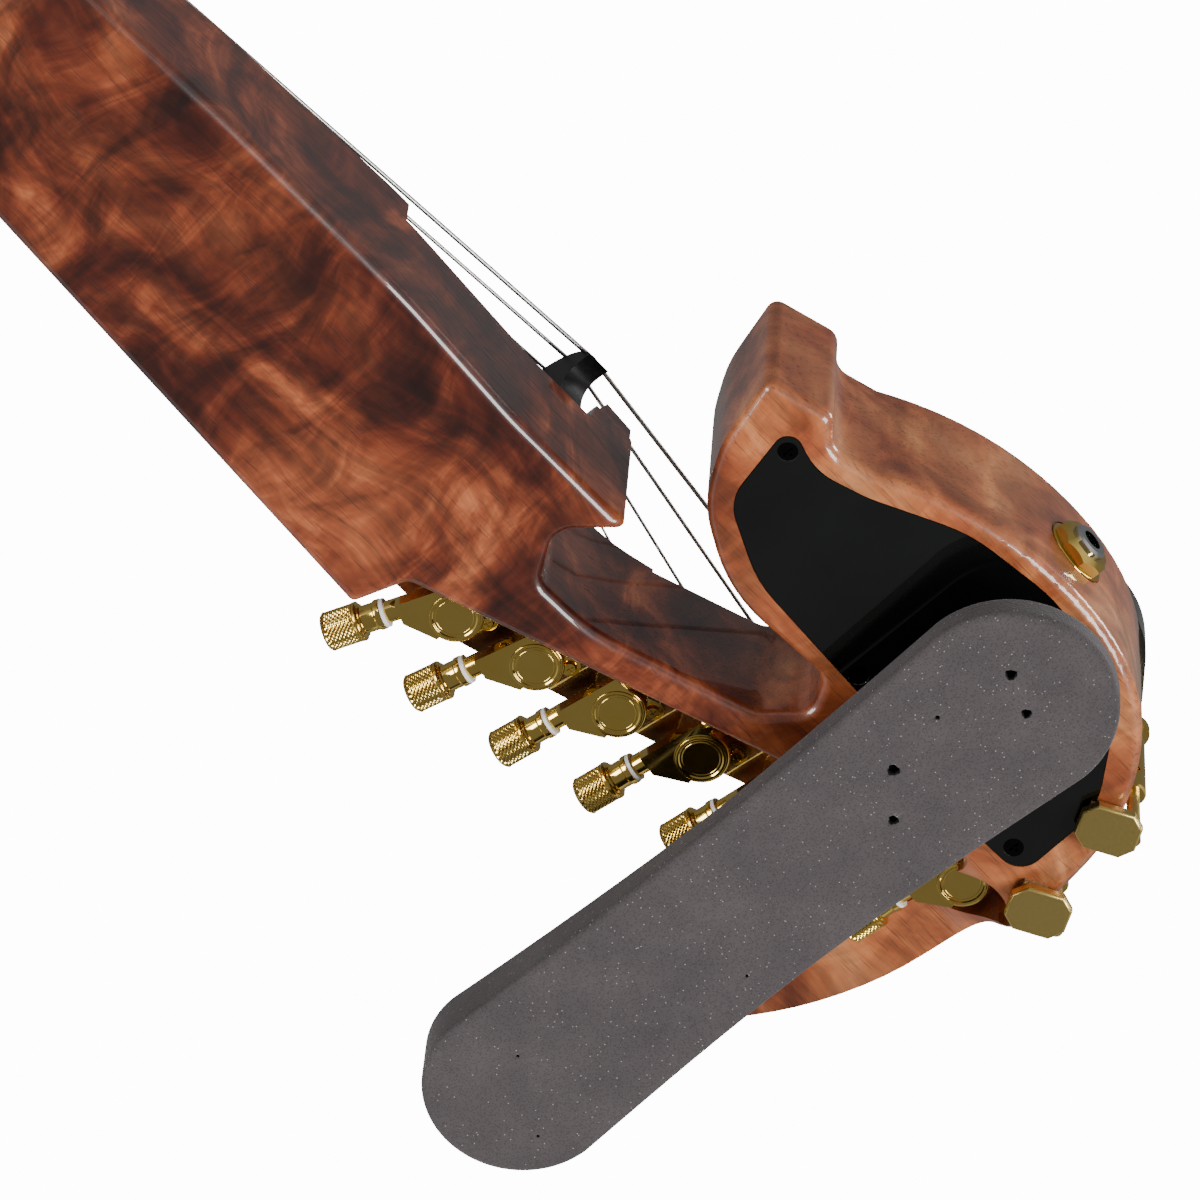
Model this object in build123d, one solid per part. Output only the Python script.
from build123d import *
import math
import os

# Self-supporting solid-body electric violin with seven strings and its tuners on the body.
# Working frame while modelling, in millimetres: x = 0 at the bridge and +x towards the nut,
# y = 0 on the string centreline and +y towards the bass side, z = 0 on the flat wooden back
# and +z towards the strings. The pieces are shifted at the end, so that the saved origin is
# the centre of the chest pad's resting face.

# ---------------------------------------------------------------- driving dimensions
STRING_LENGTH = 328.0        # bridge to nut
BODY_DEPTH = 54.0            # back to front at the lower bout
SPINE_DEPTH = 41.5           # back to the platform that the bridge stands on
SPINE_TREBLE = 55.1          # treble corner of the spine, from the centreline
SPINE_BASS = 21.8            # bass edge of the spine, from the centreline
BACK_ROUND = 3.5             # rounded edge of the back
FRONT_ROUND = 3.0            # rounded edge of the front

NECK_TOP_AT_END = 52.0       # height of the neck under the fingerboard's end
NECK_FALL = 20.0             # how far the neck's top falls from there to the nut
NECK_THICKNESS = 19.0
NUT_HALF_WIDTH = 18.5
HEAD_LENGTH = 24.0           # wooden head past the nut
HEEL_X = 236.0               # where the heel hands over to the neck
HEEL_SLOPE_START = 196.0

BOARD_END_X = 75.0
BOARD_END_HALF_WIDTH = 23.0
BOARD_EDGE = 4.5             # thickness at the fingerboard's edges
BOARD_ARCH_RADIUS = 45.0
NUT_LENGTH = 5.0
NUT_RISE = 0.8               # nut above the fingerboard's crown
NUT_FALL = 1.2               # how much lower the nut is behind

BRIDGE_HEIGHT = 35.5
BRIDGE_FOOT_HALF = 20.0
BRIDGE_TOP_HALF = 30.0
BRIDGE_CROWN_RADIUS = 32.0
BRIDGE_FOOT_THICKNESS = 9.8
BRIDGE_TOP_THICKNESS = 4.5

STRING_COUNT = 7
STRING_SPACING = 9.0
NUT_SPACING = 5.2
STRING_DIAMETERS = [0.3, 0.5, 0.7, 0.8, 1.0, 1.2, 1.4]
STRING_REST_GAP = 0.06       # strings stay this far off what they lie on
GROOVE_SHARE = 0.15          # height of a string's centre over a crown, of its diameter
NUT_TURN = 0.6               # where the strings bend over the nut
WINDING_TURNS = 3

TUNER_FIRST = (-21.1, -43.7)
TUNER_STEP_X = -27.33
TUNER_STEP_Y = 6.2
TUNER_ROW_BEND = 0.42        # the row curves by this much, times the square of the number
TUNER_TURNS = [20.0, 13.0, 8.0, 7.0, 5.5, 4.5, 3.5]   # how far each stem turns from -y, degrees
SHELF_FLOOR = 31.0           # back side of the tuner shelf
SHELF_FRONT = 46.0           # front side of the tuner shelf
SHELF_MARGIN = 13.0          # shelf beyond the line of posts

HOUSING_RADIUS = 8.6
HOUSING_HEIGHT = 11.6
CAP_RADIUS = 7.5
CAP_HEIGHT = 1.2
CAP_RIM = 0.9
CAP_DISH = 0.4
WORM_OFFSET = 6.4            # worm shaft from the post's axis
WORM_HEIGHT = 7.0            # worm shaft from the wood
TUBE_RADIUS = 3.3
TUBE_START = -8.0
TUBE_END = 19.0
WORM_SHAFT_RADIUS = 2.0
WORM_RADIUS = 2.3
WORM_LENGTH = 6.0
GEAR_RADIUS = 3.9
GEAR_THICKNESS = 4.0
SHAFT_CLEARANCE = 0.05
GEAR_CLEARANCE = 0.3
NYLON_RADIUS = 4.4
NYLON_THICKNESS = 1.1
FACE_GAP = 0.05              # between faces of pieces that turn on each other
COLLAR_RADIUS = 4.6
COLLAR_LENGTH = 1.8
STEM_RADIUS = 4.2
SHOULDER_REACH = 15.0        # how far the case's flat back runs out along the tube
BUTTON_RADIUS = 6.0
BUTTON_LENGTH = 11.4
BUTTON_REACH = 38.4          # post axis to the button's outer end
BUTTON_EDGE = 0.9
POST_RADIUS = 3.0
POST_ABOVE_SHELF = 15.0
STRING_HEIGHT_ON_POST = 9.8  # above the shelf's front
BUSHING_RADIUS = 4.8
BUSHING_NUT_WIDTH = 12.0     # across flats
BUSHING_NUT_HEIGHT = 2.4
EAR_PLACE = (-9.6, 5.6)      # screw, beside and behind the post
EAR_RADIUS = 3.2
EAR_THICKNESS = 1.5
EAR_SCREW_RADIUS = 1.2
EAR_SCREW_HEAD = 2.1
EAR_SCREW_LENGTH = 9.0
TUBE_CORNER = 12.7           # reach of the tube's closed end from the post's axis
POCKET_CLEARANCE = 0.8       # wood round the last tuner's housing and ear

COVER_THICKNESS = 2.6
COVER_GAP = 0.25
COVER_LEDGE = 4.5
COVER_SCREW_RADIUS = 1.5
COVER_SCREW_HEAD = 2.9
COVER_SCREW_LENGTH = 11.0
CAVITY_ROOF = 8.0            # wood between the cavity and the front

JACK_PLACE_X = -125.0
JACK_HEIGHT = 26.0           # from the back
JACK_SPOT_Y = 103.2          # flat spot face on the outer wall
JACK_BORE_RADIUS = 3.2
JACK_BUSHING_RADIUS = 5.9
JACK_WASHER_RADIUS = 10.2
JACK_WASHER_THICKNESS = 1.5
JACK_NUT_RADIUS = 9.6        # to the corners
JACK_NUT_HEIGHT = 4.2
JACK_NUT_SIDES = 8
JACK_BODY_RADIUS = 8.0
JACK_BODY_LENGTH = 16.0
JACK_WALL = 12.0             # wood that the bushing passes through

POT_PLACES = {"volume": (-62.0, 56.0), "tone": (-88.0, 63.0)}
POT_RADIUS = 8.0
POT_HEIGHT = 7.0
POT_BUSHING_RADIUS = 3.6
POT_SHAFT_RADIUS = 3.0
CONTROL_KNOB_RADIUS = 9.0
CONTROL_KNOB_HEIGHT = 12.0
BATTERY_SIZE = (46.0, 26.0, 17.0)
BATTERY_PLACE = (-144.5, 59.5, 14.0)
BOARD_SIZE = (34.0, 28.0, 1.6)
BOARD_PLACE = (-104.0, 62.0, 12.0)

PAD_LENGTH = 254.0
PAD_HALF_WIDTH = 31.5
PAD_OUTER_HALF_WIDTH = 29.2
PAD_WAIST = 4.0              # how far the waist pulls in
PAD_CENTRE = (-129.5, -20.5)
PAD_TIP_SHIFT = 4.3          # the free end is off the middle line by this, towards the tail
PAD_FACE_DROP = 26.0         # resting face below the wooden back
PAD_FOAM = 10.0              # foam over the body
PAD_FOAM_AT_TIP = 22.0       # foam at the free end
PAD_PLATE = 4.0
PAD_PLATE_INSET = 5.0
PAD_BEND_Y = -12.0           # the plate rises from here to the free end
PAD_SCREW_PLACES = [(-121.0, 83.0), (-133.5, 78.0), (-123.0, 37.0), (-135.5, 26.0)]
PAD_SCREW_RADIUS = 2.0
PAD_SCREW_DEPTH = 4.0        # screw holes in the wood
PAD_SCREW_HEAD = 3.6
PAD_SCREW_ACCESS = 1.9       # hole through the foam over each screw
SPACER_RADIUS = 7.0

BOUT_CENTRE = (-123.0, 29.0)
BOUT_RADIUS = 75.5
CLAMP_LEG_ANGLES = [153.2, 180.4]   # where the two legs stand round the lower bout, degrees
LEG_STANDOFF = 5.8           # leg axis outside the bout
LEG_STUD_RADIUS = 2.0
BARREL_RADIUS = 3.9
BARREL_LENGTH = 30.0
FOOT_SIZE = (18.6, 15.0)       # towards the bout, and across
FOOT_TURN = 150.0            # both feet point this way
FOOT_CORK_SIZE = (7.0, 11.0)
FOOT_CORNER = 3.8
FOOT_THICKNESS = 3.2
CORK = 2.0
CHINREST_GAP = 0.3
CHINREST_HEIGHT = 20.0
CHINREST_CUP_RADIUS = 62.0
CHINREST_CENTRE = (-166.0, 56.0)
CHINREST_FLOOR = 6.5
CHINREST_FOOT_INSET = 7.0    # narrower plate under the chinrest's rim
COVER_SCREW_PLACES = [(-36.1, 73.0), (-176.7, 35.8), (-142, 91.8), (-104, 39.8)]
ANCHOR_AFTER_NUT = 14.0      # back of the anchor bar past the strings' bend over the nut
ANCHOR_DROP = 3.6            # ball ends below the nut
ANCHOR_LENGTH = 8.0
BALL_RADIUS = 2.1            # brass ball end of a string
BALL_LENGTH = 3.2
CAP_PROUD = 0.5              # cap beyond the housing's end
BRACKET_THICKNESS = 2.4      # steel plate under the chinrest
BRACKET_WIDTH = 11.0
BARREL_TOP = BODY_DEPTH - 3.0
STUD_PITCH = 1.0             # thread of the clamp's studs
CORK_INSET = 9.0             # cork inside the chinrest's edge
WINDING_LIFT = 0.15          # strings clear of the posts they wind on

# ---------------------------------------------------------------- places worked out
NUT_X = STRING_LENGTH
HEAD_X = NUT_X + NUT_LENGTH + HEAD_LENGTH
PLATFORM_Z = SPINE_DEPTH
STRING_NUMBERS = range(STRING_COUNT)
MIDDLE = (STRING_COUNT - 1) / 2
ORIGIN = (PAD_CENTRE[0], PAD_CENTRE[1], -PAD_FACE_DROP)
STEP_LINE = [(2.8, -38.0), (-103.1, -0.1), (-174.0, 23.5)]
CAVITY_TOP = BODY_DEPTH - CAVITY_ROOF


def tuner_place(number):
    """Post axis of a tuner, counted from 0 at the treble string."""
    x = TUNER_FIRST[0] + TUNER_STEP_X * number
    y = TUNER_FIRST[1] + TUNER_STEP_Y * number + TUNER_ROW_BEND * number ** 2
    return x, y


def rounded(points, radii):
    """Closed face whose corners have the given radii."""
    return make_face(FilletPolyline(*points, radius=radii, close=True))


def prism(face, low, high):
    """Solid between two heights."""
    return Pos(0, 0, low) * extrude(face, high - low)


def face_on(plane, *curves):
    """Closed face on a plane, drawn by curves that meet end to end."""
    return make_face([plane * edge for curve in curves for edge in curve.edges()])


def disc(radius, low, high, place=(0, 0)):
    """Upright cylinder between two heights."""
    return Pos(place[0], place[1], (low + high) / 2) * Cylinder(radius, high - low)


def side_prism(points, half_width):
    """Solid with a profile in x and z, carried across y."""
    profile = face_on(Plane.XZ, Polyline(*points, close=True))
    return extrude(profile, half_width, both=True)


def cross_prism(points, low, high):
    """Solid with a profile in y and z, carried along x."""
    profile = face_on(Plane.YZ, Polyline(*points, close=True))
    return Pos(low, 0, 0) * extrude(profile, high - low)


def rod(start, end, radius):
    """Straight round bar between two points."""
    axis = Vector(*end) - Vector(*start)
    return Plane(origin=start, z_dir=axis) * Cylinder(
        radius, axis.length, align=(Align.CENTER, Align.CENTER, Align.MIN))


def neck_top(x):
    """Height of the wood under the fingerboard."""
    return NECK_TOP_AT_END - NECK_FALL * (x - BOARD_END_X) / (NUT_X - BOARD_END_X)


def board_half_width(x):
    """Half width of the fingerboard, straight from its end to the nut."""
    share = (x - BOARD_END_X) / (NUT_X - BOARD_END_X)
    return BOARD_END_HALF_WIDTH + (NUT_HALF_WIDTH - BOARD_END_HALF_WIDTH) * share


def board_crown(x):
    """Height of the fingerboard's arched top on the centreline."""
    half = board_half_width(x)
    arch = BOARD_ARCH_RADIUS - math.sqrt(BOARD_ARCH_RADIUS ** 2 - half ** 2)
    return neck_top(x) + BOARD_EDGE + arch


def crown_height(y):
    """Height of the bridge's top edge."""
    radius = BRIDGE_CROWN_RADIUS
    return PLATFORM_Z + BRIDGE_HEIGHT - (radius - math.sqrt(radius ** 2 - y ** 2))


def step_line_y(x):
    """Where the wall of the tuner recess stands, by its two straight runs."""
    for (x0, y0), (x1, y1) in zip(STEP_LINE, STEP_LINE[1:]):
        if x >= x1:
            return y0 + (y1 - y0) * (x - x0) / (x1 - x0)
    return STEP_LINE[-1][1]


# ---------------------------------------------------------------- wooden body
def body_outline():
    """Spine, arm, lower bout and tail as one outline on the back."""
    chain = [(-58, 86.3), (-44.5, 82.3), (-36.5, 90.2), (-15.5, 84), (-22.5, 60), (-34, 42.5),
             (-60, 28.8), (-98, 31.5), (-104.5, 21), (-95, 9.2), (-44, -8.8), (-22, -9.5),
             (-12, 5.5), (-26, SPINE_BASS), (20, SPINE_BASS), (BOARD_END_X, 25.2), (150, 24.6),
             (HEEL_X, board_half_width(HEEL_X)), (HEEL_X, -board_half_width(HEEL_X)),
             (222, -board_half_width(HEEL_X)), (206, -42.8), (8.3, -SPINE_TREBLE),
             STEP_LINE[0], STEP_LINE[1], STEP_LINE[2], (-174, -20), (-175, -52), (-181, -80)]
    radii = [7, 5, 3.5, 40, 34, 50, 6.5, 6, 9, 60, 7, 8, 1.5, 200, 300, 300, 0, 0, 12, 10, 2,
             4, 60, 5, 60, 60]
    edge = FilletPolyline(*chain, radius=radii)
    bout = Spline((-181, -80), (-196, -50), (-202, -18), (-199.5, 15), (-194.3, 54),
                  (-184.8, 74.5), (-163.5, 95), (-123, 104.5), (-84, 98.4), (-58, 86.3))
    return make_face(edge.edges() + bout.edges())


def shelf_outline():
    """Plate that carries the tuners, inside the body and out past the posts."""
    places = [tuner_place(number) for number in STRING_NUMBERS]
    outer = [(x, y - SHELF_MARGIN + 1.5 * number) for number, (x, y) in enumerate(places[:5])]
    inner = [(x, step_line_y(x) + 6) for x in (-160, -100, -2)]
    points = [(7.0, -SPINE_TREBLE + 1), (-14, -SPINE_TREBLE + 1)] + outer
    points += [(-152, -18), (-166, -34), (-186, -30), (-186, 8)] + inner + [(7.0, -30)]
    radii = [0, 20, 0, 30, 60, 60, 40, 20, 12, 0, 0, 0, 0, 0, 0]
    return rounded(points, radii)


def last_tuner_pocket():
    """Space in the wood for the last tuner's housing, ear and button."""
    number = STRING_COUNT - 1
    x, y = tuner_place(number)
    spot = Pos(x, y) * Rot(0, 0, TUNER_TURNS[number])
    housing = disc(TUBE_CORNER + POCKET_CLEARANCE, 0, SHELF_FLOOR)
    ear = disc(EAR_RADIUS + POCKET_CLEARANCE, 0, SHELF_FLOOR, EAR_PLACE)
    bridge = Rot(0, 0, math.degrees(math.atan2(EAR_PLACE[1], EAR_PLACE[0]))) * Pos(5, 0, 0)
    link = bridge * Box(10, 2 * (EAR_RADIUS + POCKET_CLEARANCE), SHELF_FLOOR,
                        align=(Align.CENTER, Align.CENTER, Align.MIN))
    reach = BUTTON_REACH + 2 * POCKET_CLEARANCE
    channel = Pos(WORM_OFFSET, -reach / 2, 0) * Box(
        2 * (BUTTON_RADIUS + POCKET_CLEARANCE), reach, SHELF_FLOOR,
        align=(Align.CENTER, Align.CENTER, Align.MIN))
    return spot * (housing + ear + link + channel)


def tail_scoop():
    """Space behind the tail, whose back curves away from the flat back to the shelf's level."""
    start, middle, end = (24, 0), (6, SHELF_FLOOR * 0.62), (-22, SHELF_FLOOR)
    curve = Spline((start[0], start[1]), middle, end, tangents=[(-1, 0.25), (-1, 0.05)])
    rest = Polyline(end, (-95, SHELF_FLOOR), (-95, -5), (start[0], -5), start)
    face = face_on(Plane.YZ, curve, rest)
    return Pos(-215, 0, 0) * extrude(face, 215 - 160)


def make_neck():
    """Round-backed neck and head, from the heel to past the nut."""
    sections = []
    for x in (HEEL_X - 1, NUT_X, HEAD_X):
        half = board_half_width(min(x, NUT_X))
        top = neck_top(min(x, NUT_X))
        low = top - NECK_THICKNESS
        edge = Polyline((half, top - 3), (half, top), (-half, top), (-half, top - 3))
        back = Spline((-half, top - 3), (-half * 0.72, low + 3.2), (0, low),
                      (half * 0.72, low + 3.2), (half, top - 3))
        sections.append(Pos(x, 0, 0) * face_on(Plane.YZ, edge, back))
    return loft(sections[:2], ruled=True) + loft(sections[1:], ruled=True)


def side_profile():
    """Side view of the spine and front: neck ramp, platform, and the higher lower bout."""
    heel_top = neck_top(HEEL_X)
    heel_low = heel_top - NECK_THICKNESS + 0.5
    rise = ThreePointArc(
        (HEEL_SLOPE_START, 0), (HEEL_SLOPE_START + 27, 6.5), (HEEL_X, heel_low))
    rest = Polyline((HEEL_X, heel_low), (HEEL_X, heel_top), (BOARD_END_X, NECK_TOP_AT_END),
                    (BOARD_END_X, PLATFORM_Z), (-6, PLATFORM_Z), (-9, BODY_DEPTH),
                    (-215, BODY_DEPTH), (-215, 0), (HEEL_SLOPE_START, 0))
    return extrude(face_on(Plane.XZ, rise, rest), 140, both=True)


def make_body():
    """Walnut body in one piece, with every recess, bore and pocket that its fittings need."""
    thick = extrude(body_outline(), BODY_DEPTH)
    back_edges = thick.edges().group_by(Axis.Z)[0]
    thick = fillet(back_edges, BACK_ROUND)
    thick = fillet(thick.edges().group_by(Axis.Z)[-1], FRONT_ROUND)
    body = thick & side_profile()
    body -= tail_scoop()
    body -= last_tuner_pocket()
    body += prism(shelf_outline(), SHELF_FLOOR, SHELF_FRONT)
    block = [(-5, PLATFORM_Z - 4), (-5, PLATFORM_Z), (-14, BODY_DEPTH + 9),
             (-31, BODY_DEPTH + 6), (-60, BODY_DEPTH - 0.5), (-60, PLATFORM_Z - 4)]
    ridge = side_prism(block, 20) & prism(body_outline(), 30, 80)
    body += ridge
    body += make_neck()
    cover = offset(cover_outline(), COVER_GAP)
    body -= prism(cover, -1, COVER_THICKNESS)
    body -= prism(offset(cover_outline(), -COVER_LEDGE), 0, CAVITY_TOP)
    for place in COVER_SCREW_PLACES:
        body -= disc(COVER_SCREW_RADIUS, 0, COVER_SCREW_LENGTH + 1, place)
    for place in PAD_SCREW_PLACES:
        body -= disc(PAD_SCREW_RADIUS + SHAFT_CLEARANCE, -1, PAD_SCREW_DEPTH, place)
    for name, place in POT_PLACES.items():
        body -= disc(POT_BUSHING_RADIUS + SHAFT_CLEARANCE, CAVITY_TOP - 1, BODY_DEPTH + 1, place)
    for number in STRING_NUMBERS:
        place = tuner_place(number)
        body -= disc(BUSHING_RADIUS + SHAFT_CLEARANCE, SHELF_FLOOR - 1, BODY_DEPTH + 10, place)
        body -= disc(BUSHING_NUT_WIDTH / 2 + 3.5, SHELF_FRONT, BODY_DEPTH + 10, place)
        spot = Pos(place[0], place[1]) * Rot(0, 0, TUNER_TURNS[number])
        body -= spot * disc(EAR_SCREW_RADIUS + SHAFT_CLEARANCE, SHELF_FLOOR - 1,
                            SHELF_FLOOR + EAR_SCREW_LENGTH, EAR_PLACE)
    jack_hole = rod((JACK_PLACE_X, 60, JACK_HEIGHT), (JACK_PLACE_X, 120, JACK_HEIGHT),
                    JACK_BUSHING_RADIUS + SHAFT_CLEARANCE)
    spot_face = rod((JACK_PLACE_X, JACK_SPOT_Y, JACK_HEIGHT), (JACK_PLACE_X, 120, JACK_HEIGHT),
                    JACK_WASHER_RADIUS + 0.6)
    return body - jack_hole - spot_face


def cover_outline():
    """Plate over the control cavity, a hooked shape that follows the lower bout."""
    points = [(-30, 79.5), (-46, 74.5), (-62, 80), (-90, 94.5), (-124, 99), (-160, 89.5),
              (-183, 62), (-185, 31), (-165, 30.5), (-112, 36), (-62, 38.5), (-37, 50)]
    radii = [4, 20, 40, 50, 50, 45, 30, 7, 40, 120, 40, 14]
    return rounded(points, radii)


def make_fingerboard():
    """Arched ebony board, tapered to the nut."""
    sections = []
    for x in (BOARD_END_X, NUT_X):
        half, low = board_half_width(x), neck_top(x)
        top = ThreePointArc((half, low + BOARD_EDGE), (0, board_crown(x)),
                            (-half, low + BOARD_EDGE))
        rest = Polyline((-half, low + BOARD_EDGE), (-half, low), (half, low),
                        (half, low + BOARD_EDGE))
        sections.append(Pos(x, 0, 0) * face_on(Plane.YZ, top, rest))
    return loft(sections, ruled=True)


def make_nut():
    """Bone nut across the fingerboard's upper end, lower behind and grooved for the strings."""
    half, low = NUT_HALF_WIDTH, neck_top(NUT_X) + FACE_GAP
    sections = []
    for x, fall in ((NUT_X + FACE_GAP, 0), (NUT_X + NUT_LENGTH, NUT_FALL)):
        edge = neck_top(NUT_X) + BOARD_EDGE + NUT_RISE - fall
        crown = board_crown(NUT_X) + NUT_RISE - fall
        top = ThreePointArc((half, edge), (0, crown), (-half, edge))
        rest = Polyline((-half, edge), (-half, low), (half, low), (half, edge))
        sections.append(Pos(x, 0, 0) * face_on(Plane.YZ, top, rest))
    return loft(sections, ruled=True) - string_grooves()


def nut_point(number):
    """Where a string leaves the nut."""
    y = (number - MIDDLE) * NUT_SPACING
    radius = BOARD_ARCH_RADIUS
    drop = radius - math.sqrt(radius ** 2 - y ** 2)
    height = board_crown(NUT_X) + NUT_RISE - drop
    return NUT_X + NUT_TURN, y, height + STRING_DIAMETERS[number] * GROOVE_SHARE


def bridge_point(number):
    """Where a string crosses the bridge."""
    y = (number - MIDDLE) * STRING_SPACING
    return 0, y, crown_height(y) + STRING_DIAMETERS[number] * GROOVE_SHARE


def anchor_point(number):
    """Where a string's ball end sits in the head's anchor bar."""
    x, y, z = nut_point(number)
    return x + ANCHOR_AFTER_NUT, y, z - ANCHOR_DROP


def make_anchor():
    """Metal bar screwed on the head, with a slot for each string."""
    low = neck_top(NUT_X) + FACE_GAP
    x = NUT_X + NUT_TURN + ANCHOR_AFTER_NUT
    top = anchor_point(3)[2] + 2.6
    bar = Pos(x - ANCHOR_LENGTH / 2, 0, (low + top) / 2) * Box(
        ANCHOR_LENGTH, 2 * NUT_HALF_WIDTH, top - low)
    bar = fillet(bar.edges().filter_by(Axis.Y).group_by(Axis.Z)[-1], 1.2)
    for number in STRING_NUMBERS:
        px, py, pz = anchor_point(number)
        slot = Pos(px - ANCHOR_LENGTH / 2, py, pz + 5) * Box(
            ANCHOR_LENGTH + 2, STRING_DIAMETERS[number] + 0.6, 10 + STRING_DIAMETERS[number])
        bar -= slot
    return bar


def make_ball_end(number):
    """Brass ball that a string ends in, behind the anchor bar."""
    x, y, z = anchor_point(number)
    start = x + STRING_REST_GAP
    return rod((start, y, z), (start + BALL_LENGTH, y, z), BALL_RADIUS)


def string_route(number):
    """Bends of a string, from its ball end over the nut and bridge to the side of its post."""
    x, y = tuner_place(number)
    bridge = bridge_point(number)
    run = Vector(x - bridge[0], y - bridge[1], 0).normalized()
    side = Vector(-run.Y, run.X, 0) * coil_radius(number)
    end = (x + side.X, y + side.Y, SHELF_FRONT + STRING_HEIGHT_ON_POST)
    return [anchor_point(number), nut_point(number), bridge, end]


def coil_radius(number):
    """Middle radius of a string's turns round its post."""
    return POST_RADIUS + WINDING_LIFT + STRING_DIAMETERS[number] / 2


def run_along(route, radius):
    """Round bar along straight runs, with a ball at each bend."""
    bar = rod(route[0], route[1], radius)
    for start, stop in zip(route[1:], route[2:]):
        bar += Pos(*start) * Sphere(radius) + rod(start, stop, radius)
    return bar


def string_grooves():
    """Clear space round every string, which cuts the grooves of the nut and the bridge."""
    tools = []
    for number in STRING_NUMBERS:
        radius = STRING_DIAMETERS[number] / 2 + STRING_REST_GAP
        tools.append(run_along(string_route(number), radius))
    return tools


def make_string(number):
    """One string: ball end, nut, bridge, and its turns round the post."""
    radius = STRING_DIAMETERS[number] / 2
    x, y = tuner_place(number)
    height = SHELF_FRONT + STRING_HEIGHT_ON_POST
    string = run_along(string_route(number), radius) + make_ball_end(number)
    x_end, y_end, z_end = anchor_point(number)
    string += rod((x_end - 1, y_end, z_end), (x_end + 1, y_end, z_end), radius)
    for turn in range(WINDING_TURNS):
        string += Pos(x, y, height - turn * 2 * radius * 0.96) * Torus(coil_radius(number), radius)
    return string


def make_bridge():
    """Solid black bridge: narrow feet, wide crown, thinner at the top."""
    flank = PLATFORM_Z + BRIDGE_HEIGHT * 0.42
    end = BRIDGE_TOP_HALF
    crown = ThreePointArc((end, crown_height(end)), (0, crown_height(0)),
                          (-end, crown_height(end)))
    left = Spline((-end, crown_height(end)), (-BRIDGE_FOOT_HALF - 3.5, flank),
                  (-BRIDGE_FOOT_HALF, PLATFORM_Z))
    right = Spline((BRIDGE_FOOT_HALF, PLATFORM_Z), (BRIDGE_FOOT_HALF + 3.5, flank),
                   (end, crown_height(end)))
    foot = Line((-BRIDGE_FOOT_HALF, PLATFORM_Z), (BRIDGE_FOOT_HALF, PLATFORM_Z))
    profile = face_on(Plane.YZ, crown, left, foot, right)
    plate = extrude(profile, BRIDGE_FOOT_THICKNESS, both=True)
    top = PLATFORM_Z + BRIDGE_HEIGHT + 2
    low, high = BRIDGE_FOOT_THICKNESS / 2, BRIDGE_TOP_THICKNESS / 2
    taper = side_prism([(-low, PLATFORM_Z), (low, PLATFORM_Z), (high, top), (-high, top)],
                       BRIDGE_TOP_HALF + 5)
    return (plate & taper) - string_grooves()


# ---------------------------------------------------------------- tuners
# A tuner is modelled with its post on the local z axis, the wood at z = 0, the back of the
# instrument towards -z, and its button towards -y.
def make_housing():
    """Cast tuner housing: round gear case, worm tube and an ear for its screw."""
    top = -HOUSING_HEIGHT
    case = disc(HOUSING_RADIUS, top, 0)
    case = fillet(case.edges().group_by(Axis.Z)[0], 1.0)
    neck_block = Pos(WORM_OFFSET / 2 + 0.4, 0, -WORM_HEIGHT) * Box(
        WORM_OFFSET + 0.8, 2 * HOUSING_RADIUS - 2.4, 2 * TUBE_RADIUS)
    far = WORM_OFFSET + TUBE_RADIUS
    shoulder = Polyline((-5, 0.75 - HOUSING_RADIUS), (WORM_OFFSET - TUBE_RADIUS, -SHOULDER_REACH),
                        (far, -SHOULDER_REACH), (far, 6), (0, HOUSING_RADIUS - 0.6), close=True)
    neck_block += prism(make_face(shoulder), top + 0.1, -WORM_HEIGHT)
    tube = rod((WORM_OFFSET, -TUBE_START, -WORM_HEIGHT), (WORM_OFFSET, -TUBE_END, -WORM_HEIGHT),
               TUBE_RADIUS)
    ear_angle = math.degrees(math.atan2(EAR_PLACE[1], EAR_PLACE[0]))
    ear_reach = math.hypot(*EAR_PLACE)
    ear = disc(EAR_RADIUS, -EAR_THICKNESS, 0, EAR_PLACE)
    ear += Rot(0, 0, ear_angle) * Pos(ear_reach / 2, 0, -EAR_THICKNESS / 2) * Box(
        ear_reach, 2 * EAR_RADIUS, EAR_THICKNESS)
    housing = case + neck_block + tube + ear
    bore = WORM_SHAFT_RADIUS + SHAFT_CLEARANCE
    housing -= rod((WORM_OFFSET, -TUBE_START + 1, -WORM_HEIGHT),
                   (WORM_OFFSET, -TUBE_END - 1, -WORM_HEIGHT), bore)
    housing -= rod((WORM_OFFSET, WORM_LENGTH / 2 + GEAR_CLEARANCE, -WORM_HEIGHT),
                   (WORM_OFFSET, -WORM_LENGTH / 2 - GEAR_CLEARANCE, -WORM_HEIGHT),
                   WORM_RADIUS + GEAR_CLEARANCE)
    gear_low = -WORM_HEIGHT - GEAR_THICKNESS / 2 - GEAR_CLEARANCE
    gear_high = -WORM_HEIGHT + GEAR_THICKNESS / 2 + GEAR_CLEARANCE
    housing -= disc(GEAR_RADIUS + GEAR_CLEARANCE, gear_low, gear_high)
    housing -= disc(POST_RADIUS + SHAFT_CLEARANCE, gear_high - 1, 1)
    housing -= disc(EAR_SCREW_RADIUS + SHAFT_CLEARANCE, -EAR_THICKNESS - 1, 1, EAR_PLACE)
    cap_seat = CAP_HEIGHT - CAP_PROUD
    return housing - disc(CAP_RADIUS + FACE_GAP, top - 1, top + cap_seat)


def make_cap():
    """Dished round cap pressed into the back of the gear case."""
    low = -HOUSING_HEIGHT - CAP_PROUD
    cap = disc(CAP_RADIUS, low, low + CAP_HEIGHT)
    return cap - disc(CAP_RADIUS - CAP_RIM, low - 1, low + CAP_DISH)


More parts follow.
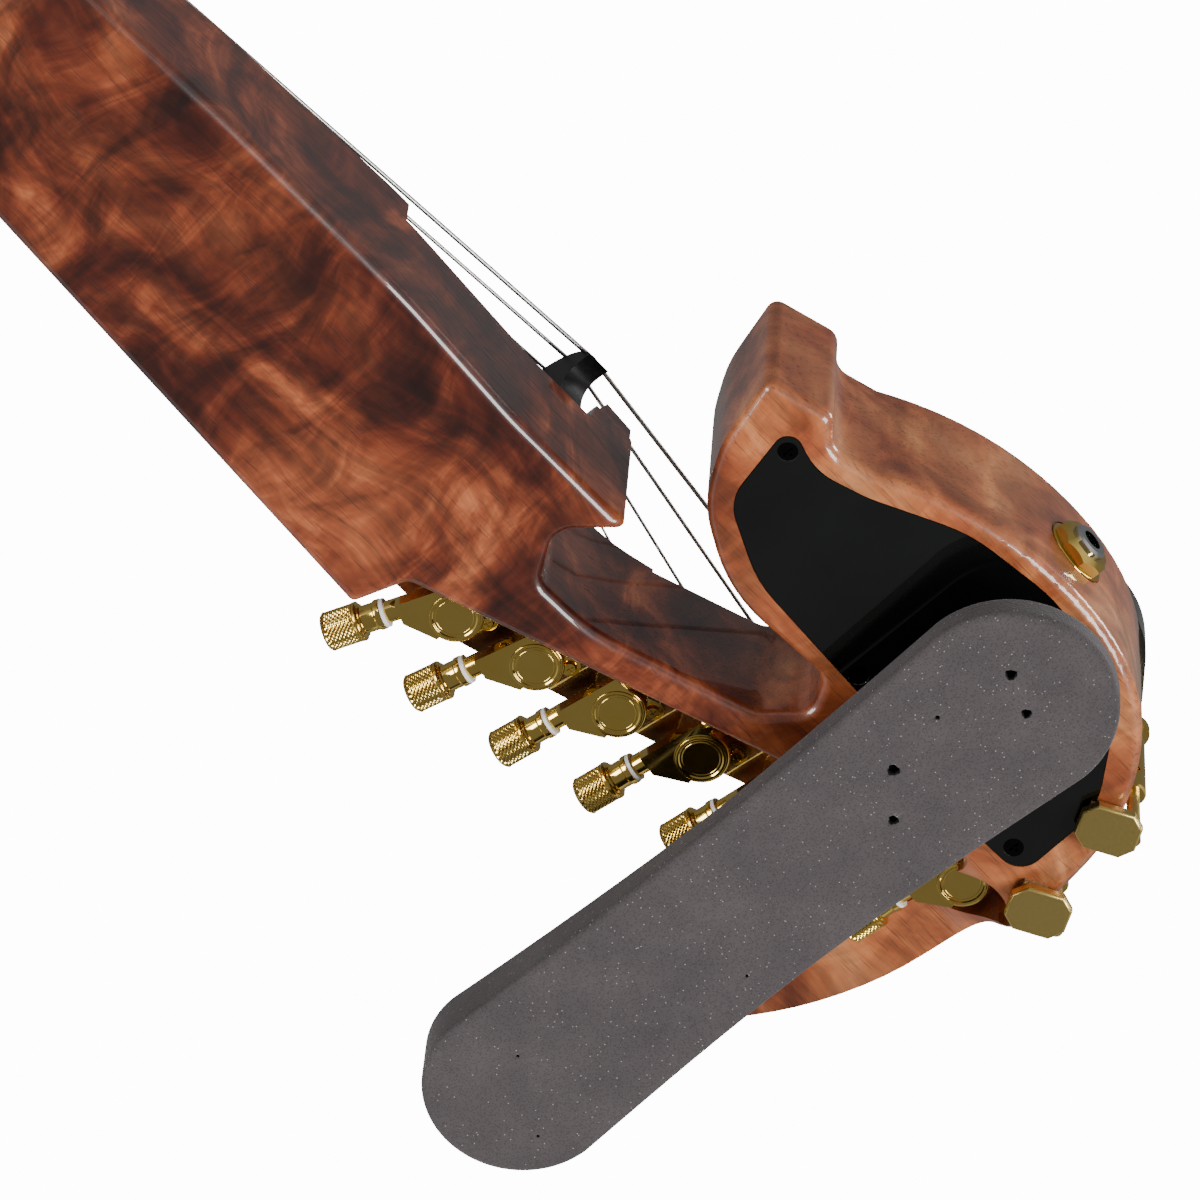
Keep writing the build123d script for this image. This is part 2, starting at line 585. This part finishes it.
def make_button():
    """Knurled button with its stem, shaft and worm in one piece."""
    def turned(start, stop, radius):
        return rod((WORM_OFFSET, -start, -WORM_HEIGHT), (WORM_OFFSET, -stop, -WORM_HEIGHT),
                   radius)
    collar_start = TUBE_END + NYLON_THICKNESS + 2 * FACE_GAP
    collar_end = collar_start + COLLAR_LENGTH
    barrel_start = BUTTON_REACH - BUTTON_LENGTH
    barrel = turned(barrel_start, BUTTON_REACH, BUTTON_RADIUS)
    barrel = fillet(barrel.edges(), BUTTON_EDGE)
    button = turned(-WORM_LENGTH / 2 - 1.0, collar_end, WORM_SHAFT_RADIUS)
    button += turned(-WORM_LENGTH / 2, WORM_LENGTH / 2, WORM_RADIUS)
    button += turned(collar_start, collar_end, COLLAR_RADIUS)
    button += turned(collar_end, barrel_start + 1, STEM_RADIUS)
    return button + barrel


def make_post():
    """String post with its worm gear."""
    top = SHELF_FRONT - SHELF_FLOOR + POST_ABOVE_SHELF
    gear_low = -WORM_HEIGHT - GEAR_THICKNESS / 2
    post = disc(GEAR_RADIUS, gear_low, gear_low + GEAR_THICKNESS)
    shaft = disc(POST_RADIUS, gear_low, top)
    shaft = chamfer(shaft.edges().group_by(Axis.Z)[-1], 0.5)
    hole_height = SHELF_FRONT - SHELF_FLOOR + STRING_HEIGHT_ON_POST + 2.4
    hole = Pos(0, 0, hole_height) * Rot(90, 0, 0) * Cylinder(0.9, 4 * POST_RADIUS)
    return post + shaft - hole


def make_nylon():
    """White washer between a tuner's tube and its collar."""
    start = TUBE_END + FACE_GAP
    ring = rod((WORM_OFFSET, -start, -WORM_HEIGHT),
               (WORM_OFFSET, -start - NYLON_THICKNESS, -WORM_HEIGHT), NYLON_RADIUS)
    return ring - rod((WORM_OFFSET, -start + 1, -WORM_HEIGHT),
                      (WORM_OFFSET, -start - NYLON_THICKNESS - 1, -WORM_HEIGHT),
                      WORM_SHAFT_RADIUS + 2 * SHAFT_CLEARANCE)


def make_bushing():
    """Bushing through the shelf with a hexagonal nut on the front."""
    shelf = SHELF_FRONT - SHELF_FLOOR
    bushing = disc(BUSHING_RADIUS, 0.1, shelf + BUSHING_NUT_HEIGHT)
    nut = Pos(0, 0, shelf) * extrude(
        RegularPolygon(BUSHING_NUT_WIDTH / 2, 6, major_radius=False), BUSHING_NUT_HEIGHT)
    return bushing + nut - disc(POST_RADIUS + SHAFT_CLEARANCE, -1, shelf + 10)


def make_ear_screw():
    """Round-headed screw through the tuner's ear."""
    head = Pos(EAR_PLACE[0], EAR_PLACE[1], -EAR_THICKNESS) * Sphere(EAR_SCREW_HEAD)
    head &= disc(EAR_SCREW_HEAD, -EAR_THICKNESS - EAR_SCREW_HEAD * 0.62, -EAR_THICKNESS,
                 EAR_PLACE)
    screw = head + disc(EAR_SCREW_RADIUS, -EAR_THICKNESS, EAR_SCREW_LENGTH - 1, EAR_PLACE)
    slot = Pos(EAR_PLACE[0], EAR_PLACE[1], -EAR_THICKNESS - EAR_SCREW_HEAD * 0.62)
    return screw - slot * Box(2.4, 0.5, 1.0) - slot * Box(0.5, 2.4, 1.0)


def at_tuner(number, piece):
    """Move a piece of a tuner from its own frame to its place on the shelf."""
    x, y = tuner_place(number)
    return Pos(x, y, SHELF_FLOOR) * Rot(0, 0, TUNER_TURNS[number]) * piece


# ---------------------------------------------------------------- cover, controls and jack
def make_cover():
    """Black plate over the control cavity, with countersunk screw holes."""
    cover = prism(cover_outline(), 0, COVER_THICKNESS)
    for place in COVER_SCREW_PLACES:
        cover -= disc(COVER_SCREW_RADIUS + 0.15, -1, COVER_THICKNESS + 1, place)
        cover -= Pos(place[0], place[1], 0.8) * Cone(
            COVER_SCREW_HEAD + 0.15, COVER_SCREW_RADIUS + 0.15, 1.6)
    for place in PAD_SCREW_PLACES:
        cover -= disc(PAD_SCREW_RADIUS + 0.1, -1, COVER_THICKNESS + 1, place)
    return cover


def make_cover_screw(place):
    """Countersunk cross-head screw."""
    head = Pos(place[0], place[1], 0.85) * Cone(COVER_SCREW_HEAD, COVER_SCREW_RADIUS, 1.5)
    screw = head + disc(COVER_SCREW_RADIUS - SHAFT_CLEARANCE, 1.5, COVER_SCREW_LENGTH, place)
    cross = Pos(place[0], place[1], 0.1)
    return screw - cross * Box(3.4, 0.7, 1.6) - cross * Box(0.7, 3.4, 1.6)


def jack_rod(start, stop, radius):
    """Round bar on the jack's axis, by distance from the spot face."""
    return rod((JACK_PLACE_X, JACK_SPOT_Y + start, JACK_HEIGHT),
               (JACK_PLACE_X, JACK_SPOT_Y + stop, JACK_HEIGHT), radius)


def make_jack_socket():
    """Chromed bushing and body of the output jack."""
    outer = JACK_WASHER_THICKNESS + JACK_NUT_HEIGHT + 1.6
    socket = jack_rod(-JACK_WALL - 1.5, outer, JACK_BUSHING_RADIUS)
    socket = chamfer(socket.edges().group_by(Axis.Y)[-1], 0.7)
    socket += jack_rod(-JACK_WALL - JACK_BODY_LENGTH, -JACK_WALL - 0.6, JACK_BODY_RADIUS)
    return socket - jack_rod(-JACK_WALL - JACK_BODY_LENGTH + 2, outer + 1, JACK_BORE_RADIUS)


def make_jack_washer():
    washer = jack_rod(0, JACK_WASHER_THICKNESS, JACK_WASHER_RADIUS)
    washer = fillet(washer.edges().group_by(Axis.Y)[-1], 0.5)
    return washer - jack_rod(-1, JACK_WASHER_THICKNESS + 1, JACK_BUSHING_RADIUS + FACE_GAP)


def make_jack_nut():
    """Eight-sided nut with a turned, sloping face."""
    start = JACK_WASHER_THICKNESS + FACE_GAP
    place = (JACK_PLACE_X, JACK_SPOT_Y + start, JACK_HEIGHT)
    plane = Plane(origin=place, x_dir=(1, 0, 0), z_dir=(0, 1, 0))
    nut = extrude(plane * RegularPolygon(JACK_NUT_RADIUS, JACK_NUT_SIDES), JACK_NUT_HEIGHT)
    slope = plane * Pos(0, 0, JACK_NUT_HEIGHT / 2) * Cone(
        JACK_NUT_RADIUS + 2.2, JACK_NUT_RADIUS - 1.9, JACK_NUT_HEIGHT)
    nut &= slope
    return nut - jack_rod(0, start + JACK_NUT_HEIGHT + 1, JACK_BUSHING_RADIUS + FACE_GAP)


def make_pot(place):
    """Potentiometer in the cavity, with its threaded bushing through the roof."""
    roof = CAVITY_TOP
    pot = disc(POT_RADIUS, roof - POT_HEIGHT, roof - 0.1, place)
    pot += disc(POT_BUSHING_RADIUS, roof - 0.2, BODY_DEPTH + 1.0, place)
    return pot - disc(POT_SHAFT_RADIUS + SHAFT_CLEARANCE, roof - POT_HEIGHT + 1.5,
                      BODY_DEPTH + 2, place)


def make_control_knob(place):
    """Metal knob with the control's shaft."""
    low = BODY_DEPTH + 1.4
    knob = disc(CONTROL_KNOB_RADIUS, low, low + CONTROL_KNOB_HEIGHT, place)
    knob = fillet(knob.edges().group_by(Axis.Z)[-1], 1.2)
    return knob + disc(POT_SHAFT_RADIUS, CAVITY_TOP - POT_HEIGHT + 1.6, low + 1, place)


def make_battery():
    """Nine-volt block battery."""
    block = Pos(*BATTERY_PLACE) * Box(*BATTERY_SIZE)
    return fillet(block.edges().filter_by(Axis.Z), 2.0)


def make_preamp():
    """Preamplifier board with its two largest parts."""
    board = Box(*BOARD_SIZE)
    board += Pos(-7, 3, BOARD_SIZE[2]) * Box(10, 7, BOARD_SIZE[2] * 2)
    board += Pos(9, -5, 4) * Cylinder(3.2, 8)
    return Pos(*BOARD_PLACE) * board


# ---------------------------------------------------------------- chest pad
def pad_outline(inset=0.0):
    """Long pad with two round ends and a slight waist."""
    x, y = PAD_CENTRE
    near, far = y + PAD_LENGTH / 2 - inset, y - PAD_LENGTH / 2 + inset
    wide, slim = PAD_HALF_WIDTH - inset, PAD_OUTER_HALF_WIDTH - inset
    left_far, right_far = x - PAD_TIP_SHIFT + slim, x - PAD_TIP_SHIFT - slim
    points = [(x + wide, near), (x - wide, near), (x - wide + 1.5, y + 75),
              (x - wide + PAD_WAIST * 2.1, y + 15), (right_far, y - 70), (right_far, far),
              (left_far, far), (left_far + 0.5, y - 60), (x + wide - 2.0, y + 55)]
    radii = [wide - 1.5, wide - 1.5, 90, 150, 90, slim - 1.0, slim - 1.0, 200, 200]
    return rounded(points, radii)


def pad_section(upper, lower):
    """Space between two bent sheets below the back, given as depths at the body and tip."""
    x, y = PAD_CENTRE
    near, far = y + PAD_LENGTH / 2 + 5, y - PAD_LENGTH / 2
    points = [(near, -upper[0]), (PAD_BEND_Y, -upper[0]), (far, -upper[1]), (far, -lower[1]),
              (PAD_BEND_Y, -lower[0]), (near, -lower[0])]
    tidy = [points[0], points[1], points[2], points[3]]
    if lower[0] != lower[1]:
        tidy.append(points[4])
    tidy.append(points[5])
    return cross_prism(tidy, x - 60, x + 60)


def make_pad_foam():
    """Closed-cell foam, level where it meets the chest and thicker at its free end."""
    back = PAD_FACE_DROP - PAD_FOAM
    tip = PAD_FACE_DROP - PAD_FOAM_AT_TIP
    foam = prism(pad_outline(), -PAD_FACE_DROP, 5)
    foam &= pad_section((back, tip), (PAD_FACE_DROP, PAD_FACE_DROP))
    for place in PAD_SCREW_PLACES:
        foam -= disc(PAD_SCREW_ACCESS, -PAD_FACE_DROP - 1, -back + 1, place)
    return foam


def make_pad_plate():
    """Stiff bent plate under the foam."""
    back = PAD_FACE_DROP - PAD_FOAM - FACE_GAP
    tip = PAD_FACE_DROP - PAD_FOAM_AT_TIP - FACE_GAP
    plate = prism(pad_outline(PAD_PLATE_INSET), -PAD_FACE_DROP, 10)
    plate &= pad_section((back - PAD_PLATE, tip - PAD_PLATE), (back, tip))
    for place in PAD_SCREW_PLACES:
        plate -= disc(PAD_SCREW_RADIUS + 0.1, -PAD_FACE_DROP, 5, place)
        plate -= disc(PAD_SCREW_HEAD + 0.2, -back - 1, -back + 2.2, place)
    return plate


def make_spacer(place):
    """Round riser between the cover and the pad's plate."""
    low = -(PAD_FACE_DROP - PAD_FOAM - FACE_GAP - PAD_PLATE)
    return disc(SPACER_RADIUS, low, 0, place) - disc(PAD_SCREW_RADIUS + 0.1, low - 1, 1, place)


def make_pad_screw(place):
    """Pan-head screw that holds the plate."""
    low = -(PAD_FACE_DROP - PAD_FOAM - FACE_GAP)
    head = disc(PAD_SCREW_HEAD, low + 0.2, low + 2.2, place)
    return head + disc(PAD_SCREW_RADIUS, low + 2.2, COVER_THICKNESS, place)


# ---------------------------------------------------------------- chinrest
def clamp_leg_place(angle, reach=0.0):
    """Point outside the lower bout at an angle round its centre."""
    radius = BOUT_RADIUS + LEG_STANDOFF + reach
    return (BOUT_CENTRE[0] + radius * math.cos(math.radians(angle)),
            BOUT_CENTRE[1] + radius * math.sin(math.radians(angle)))


def chinrest_outline(inset=0.0):
    """Kidney-shaped plan of the chinrest, whose outer edge follows the bout."""
    x, y = CHINREST_CENTRE
    points = [(x + 22, y + 36.5), (x - 6, y + 36.5), (x - 34, y + 9), (x - 36, y - 34),
              (x - 14, y - 44), (x + 14, y - 30), (x + 40, y - 12), (x + 42, y + 22)]
    face = rounded(points, [16, 30, 40, 17, 17, 60, 17, 17])
    return offset(face, -inset) if inset else face


def make_chinrest():
    """Black chinrest: a plate with a shallow cup and a raised outer rim."""
    low = BODY_DEPTH + CORK + CHINREST_GAP
    rest = prism(chinrest_outline(), low + 3, low + CHINREST_HEIGHT)
    rest = fillet(rest.edges().group_by(Axis.Z)[-1], 5)
    rest += prism(chinrest_outline(CHINREST_FOOT_INSET), low, low + 3.5)
    x, y = CHINREST_CENTRE
    ball = Pos(x + 8, y - 8, low + CHINREST_FLOOR + CHINREST_CUP_RADIUS)
    rest -= ball * Sphere(CHINREST_CUP_RADIUS)
    return rest - prism(bracket_outline(0.4), low - 1, low + BRACKET_THICKNESS + 0.3)


def bracket_outline(margin=0.0):
    """Plate under the chinrest that joins the two studs."""
    ends = [Vector(*clamp_leg_place(angle)) for angle in CLAMP_LEG_ANGLES]
    inner = [Vector(*clamp_leg_place(angle, -26)) for angle in CLAMP_LEG_ANGLES]
    face = Sketch()
    for start, stop in ((ends[0], inner[0]), (ends[1], inner[1]), (inner[0], inner[1])):
        run = stop - start
        turn = math.degrees(math.atan2(run.Y, run.X))
        middle = (start + stop) * 0.5
        slot = SlotCenterToCenter(run.length, BRACKET_WIDTH + 2 * margin)
        face += Pos(middle.X, middle.Y) * Rot(0, 0, turn) * slot
    return face


def make_bracket():
    """Steel bracket with the two upper studs."""
    low = BODY_DEPTH + CORK + CHINREST_GAP
    bracket = prism(bracket_outline(), low, low + BRACKET_THICKNESS)
    for angle in CLAMP_LEG_ANGLES:
        bracket += disc(LEG_STUD_RADIUS, BARREL_TOP - 9, low + 0.5, clamp_leg_place(angle))
    return bracket


def make_chinrest_cork():
    """Cork between the chinrest and the wood."""
    face = chinrest_outline(CORK_INSET) & body_outline()
    return prism(face, BODY_DEPTH + 0.02, BODY_DEPTH + CORK)


def make_barrel(angle):
    """Turnbuckle barrel, bored for both studs, with cross holes for its key."""
    place = clamp_leg_place(angle)
    low = BARREL_TOP - BARREL_LENGTH
    barrel = disc(BARREL_RADIUS, low, BARREL_TOP, place)
    barrel = chamfer(barrel.edges(), 0.6)
    barrel -= disc(LEG_STUD_RADIUS + SHAFT_CLEARANCE, low - 1, BARREL_TOP + 1, place)
    for height, turn in ((low + 6, angle), (low + 9.5, angle + 90)):
        hole = Pos(place[0], place[1], height) * Rot(0, 0, turn) * Rot(0, 90, 0)
        barrel -= hole * Cylinder(0.9, 4 * BARREL_RADIUS)
    return barrel


def make_foot(angle):
    """Lower stud with its flat foot that hooks under the back."""
    low = -CORK - 0.05 - FOOT_THICKNESS
    place = clamp_leg_place(angle)
    stud = disc(LEG_STUD_RADIUS, low + 0.5, BARREL_TOP - BARREL_LENGTH + 11, place)
    centre = clamp_leg_place(angle, -LEG_STANDOFF - 2.2)
    plate = Rectangle(*FOOT_SIZE)
    plate = chamfer(plate.vertices(), FOOT_CORNER)
    flat = Pos(centre[0], centre[1], low) * Rot(0, 0, FOOT_TURN) * extrude(plate, FOOT_THICKNESS)
    flat = fillet(flat.edges().group_by(Axis.Z)[0], 0.9)
    return flat + stud


def make_foot_cork(angle):
    """Cork pad on the part of a foot that meets the wood."""
    centre = clamp_leg_place(angle, -LEG_STANDOFF - 6.0)
    pad = Rectangle(*FOOT_CORK_SIZE)
    return Pos(centre[0], centre[1], -CORK) * Rot(0, 0, FOOT_TURN) * extrude(pad, CORK - 0.02)


# ---------------------------------------------------------------- all pieces
def make_pieces():
    """Every piece by its name, still in the working frame."""
    pieces = {
        "body": make_body(),
        "fingerboard": make_fingerboard(),
        "nut": make_nut(),
        "string_anchor": make_anchor(),
        "bridge": make_bridge(),
        "control_cover": make_cover(),
        "cover_screws": [make_cover_screw(p) for p in COVER_SCREW_PLACES],
        "jack_socket": make_jack_socket(),
        "jack_washer": make_jack_washer(),
        "jack_nut": make_jack_nut(),
        "preamp_board": make_preamp(),
        "battery": make_battery(),
        "pad_foam": make_pad_foam(),
        "pad_plate": make_pad_plate(),
        "pad_spacers": [make_spacer(p) for p in PAD_SCREW_PLACES],
        "pad_screws": [make_pad_screw(p) for p in PAD_SCREW_PLACES],
        "chinrest": make_chinrest(),
        "chinrest_cork": make_chinrest_cork(),
        "chinrest_bracket": make_bracket(),
        "control_pots": [make_pot(place) for place in POT_PLACES.values()],
    }
    for name, place in POT_PLACES.items():
        pieces[f"{name}_knob"] = make_control_knob(place)
    for count, angle in enumerate(CLAMP_LEG_ANGLES, 1):
        pieces[f"chinrest_barrel_{count}"] = make_barrel(angle)
        pieces[f"chinrest_foot_{count}"] = make_foot(angle)
        pieces[f"chinrest_foot_cork_{count}"] = make_foot_cork(angle)
    shapes = {"tuner_caps": make_cap(), "tuner_washers": make_nylon(),
              "tuner_bushings": make_bushing(), "tuner_screws": make_ear_screw()}
    for name, shape in shapes.items():
        pieces[name] = [at_tuner(number, shape) for number in STRING_NUMBERS]
    housing, button, post = make_housing(), make_button(), make_post()
    for number in STRING_NUMBERS:
        pieces[f"tuner_housing_{number + 1}"] = at_tuner(number, housing)
        pieces[f"tuner_button_{number + 1}"] = at_tuner(number, button)
        pieces[f"tuner_post_{number + 1}"] = at_tuner(number, post)
        pieces[f"string_{number + 1}"] = make_string(number)
    return pieces


def main():
    os.makedirs("parts", exist_ok=True)
    shift = Pos(-ORIGIN[0], -ORIGIN[1], -ORIGIN[2])
    for name, piece in make_pieces().items():
        alike = piece if isinstance(piece, list) else [piece]
        solids = [solid for item in alike for solid in (shift * item).solids()]
        export_step(Compound(solids) if len(solids) > 1 else solids[0], f"parts/{name}.step")


if __name__ == "__main__":
    main()
